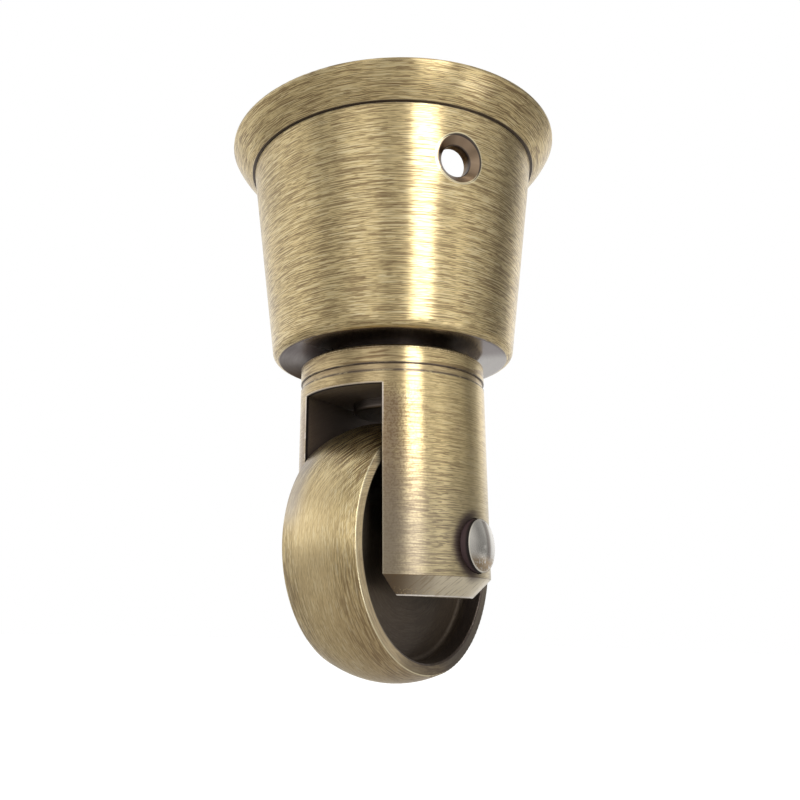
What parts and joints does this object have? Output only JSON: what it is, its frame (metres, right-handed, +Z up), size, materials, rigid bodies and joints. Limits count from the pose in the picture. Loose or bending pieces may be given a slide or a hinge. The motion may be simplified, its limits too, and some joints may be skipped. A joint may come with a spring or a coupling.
{
  "type": "cup castor",
  "caption": "Brass furniture castor: flanged tapered cup with side screw holes for a round leg, and a swivelling cylindrical horn, slotted for a dished wheel on a riveted axle.",
  "frame": {"origin": "centre of the cup's mouth, where the leg goes in", "axes": "+Z up the swivel axis, out of the cup's mouth into the leg; +X the way the wheel rolls at rest; +Y along the axle, whose disc head is at -Y"},
  "size_m": [0.054, 0.054, 0.0859],
  "materials": {
    "cup_brass": "antique, brushed round",
    "horn_brass": "antique, brushed round",
    "wheel_brass": "antique, brushed round the tread",
    "axle_brass": "antique, smooth",
    "pin_steel": "dark, oiled",
    "washer_steel": "dull"
  },
  "bodies": {
    "cup": {"cup": "cup_brass", "king_pin": "pin_steel", "king_pin_washer": "washer_steel"},
    "horn": {"horn": "horn_brass", "thrust_washer": "washer_steel", "axle": "axle_brass"},
    "wheel": {"wheel": "wheel_brass"}
  },
  "joints": [
    {"name": "swivel", "type": "hinge", "parent": "cup", "child": "horn", "pos_m": [0, 0, -0.039], "axis": [0, 0, 1], "continuous": true},
    {"name": "wheel_roll", "type": "hinge", "parent": "horn", "child": "wheel", "pos_m": [0, 0, -0.0669], "axis": [0, 1, 0], "continuous": true}
  ]
}
